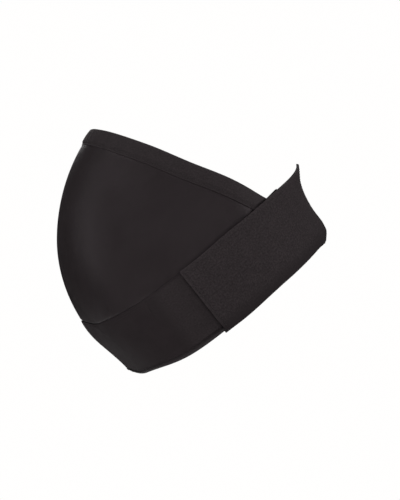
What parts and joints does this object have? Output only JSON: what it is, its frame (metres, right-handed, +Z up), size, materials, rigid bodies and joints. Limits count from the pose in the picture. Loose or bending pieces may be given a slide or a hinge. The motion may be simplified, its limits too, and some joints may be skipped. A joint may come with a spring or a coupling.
{
  "type": "maternity support belt",
  "caption": "Soft belly support belt: a domed elastic front panel on a wide under-belly band that rises to the back, closed each side by a hook-and-loop tab.",
  "frame": {"origin": "on the wearer's centre plane, in the middle of the opening that the torso fills, level with the underside of the ribs of the belly dome", "axes": "+Z up as worn, -Y towards the wearer's front, where the belly panel is, and +X to the wearer's left"},
  "size_m": [0.3524, 0.301, 0.2683],
  "materials": {
    "panel_knit": "smooth two-way stretch knit with a faint sheen",
    "band_knit": "smooth firm stretch knit, matte",
    "trim_knit": "folded stretch knit, matte",
    "plush_loop": "brushed loop pile that hook tape grips",
    "lining_knit": "soft brushed lining knit",
    "elastic_web": "ribbed woven elastic",
    "seam_tape": "narrow woven twill tape",
    "hook_tape": "nylon hook tape, fine rows of hooks",
    "thread": "textured polyester thread",
    "label_satin": "blank white satin ribbon"
  },
  "bodies": {
    "belt": {"belly_panel_outer": "panel_knit", "belly_panel_lining": "lining_knit", "top_hem_casing": "trim_knit", "top_hem_elastic": "elastic_web", "top_hem_stitching": "thread", "front_band_outer": "band_knit", "front_band_core": "elastic_web", "front_band_lining": "lining_knit", "panel_seam_tape": "seam_tape", "panel_seam_stitching": "thread", "lower_edge_binding": "trim_knit", "lower_edge_stitching": "thread", "loop_patch_left": "plush_loop", "loop_patch_right": "plush_loop", "seam_anchor_left": "seam_tape", "seam_anchor_right": "seam_tape", "seam_anchor_stitching_left": "thread", "seam_anchor_stitching_right": "thread", "back_wing_outer_left": "plush_loop", "back_wing_outer_right": "plush_loop", "back_wing_core_left": "elastic_web", "back_wing_core_right": "elastic_web", "back_wing_lining_left": "lining_knit", "back_wing_lining_right": "lining_knit", "centre_back_tape": "seam_tape", "centre_back_stitching": "thread", "care_label": "label_satin"},
    "tab_left": {"tab_outer_left": "plush_loop", "tab_core_left": "elastic_web", "tab_lining_left": "lining_knit", "hook_patch_left": "hook_tape", "tab_stitching_left": "thread"},
    "tab_right": {"tab_outer_right": "plush_loop", "tab_core_right": "elastic_web", "tab_lining_right": "lining_knit", "hook_patch_right": "hook_tape", "tab_stitching_right": "thread"}
  },
  "joints": [
    {"name": "peel_left", "type": "hinge", "parent": "belt", "child": "tab_left", "pos_m": [0.12047, 0.10587, 0.02787], "axis": [-0.0014, -0.5503, 0.835], "range_deg": [0, 140]},
    {"name": "peel_right", "type": "hinge", "parent": "belt", "child": "tab_right", "pos_m": [-0.12047, 0.10587, 0.02787], "axis": [-0.0014, 0.5503, -0.835], "range_deg": [0, 140]}
  ]
}
